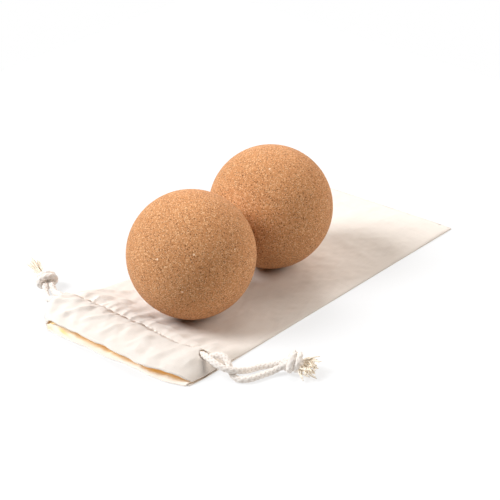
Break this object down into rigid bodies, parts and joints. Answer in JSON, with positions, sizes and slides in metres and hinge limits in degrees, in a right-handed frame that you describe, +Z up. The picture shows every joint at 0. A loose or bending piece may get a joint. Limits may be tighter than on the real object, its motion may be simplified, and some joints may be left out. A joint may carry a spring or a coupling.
{
  "type": "massage ball set",
  "caption": "Round cork massage balls for rolling under muscles, lying on the flat cotton drawstring pouch that they are kept in.",
  "frame": {"origin": "on the floor under the middle of the pouch, measured without the free cord ends", "axes": "+Z up, -Y towards the pouch's mouth and +Y towards its sewn end, +X towards the knot that lies further out"},
  "size_m": [0.179, 0.22, 0.0668],
  "materials": {
    "cork": "matte agglomerated cork, fine dark and light granules",
    "cotton": "unbleached plain-weave cotton, soft creases",
    "cord": "unbleached braided cotton cord",
    "thread": "cotton sewing thread"
  },
  "bodies": {
    "pouch": {"lower_panel": "cotton", "upper_panel": "cotton", "lower_hem": "cotton", "upper_hem": "cotton", "seam_right": "cotton", "seam_left": "cotton", "seam_bottom": "cotton", "stitch_upper": "thread", "stitch_lower": "thread", "cord_right_channel": "cord", "cord_left_channel": "cord", "cord_right_a": "cord", "cord_right_b": "cord", "cord_left_a": "cord", "cord_left_b": "cord", "knot_right": "cord", "knot_left": "cord", "fray_right_a": "cord", "fray_right_b": "cord", "fray_left_a": "cord", "fray_left_b": "cord"},
    "front_ball": {"ball_front": "cork"},
    "back_ball": {"ball_back": "cork"}
  },
  "joints": [
    {"name": "front_ball_lift", "type": "slide", "parent": "pouch", "child": "front_ball", "axis": [0, 0, 1], "range_m": [0, 0.12]},
    {"name": "back_ball_lift", "type": "slide", "parent": "pouch", "child": "back_ball", "axis": [0, 0, 1], "range_m": [0, 0.12]}
  ]
}
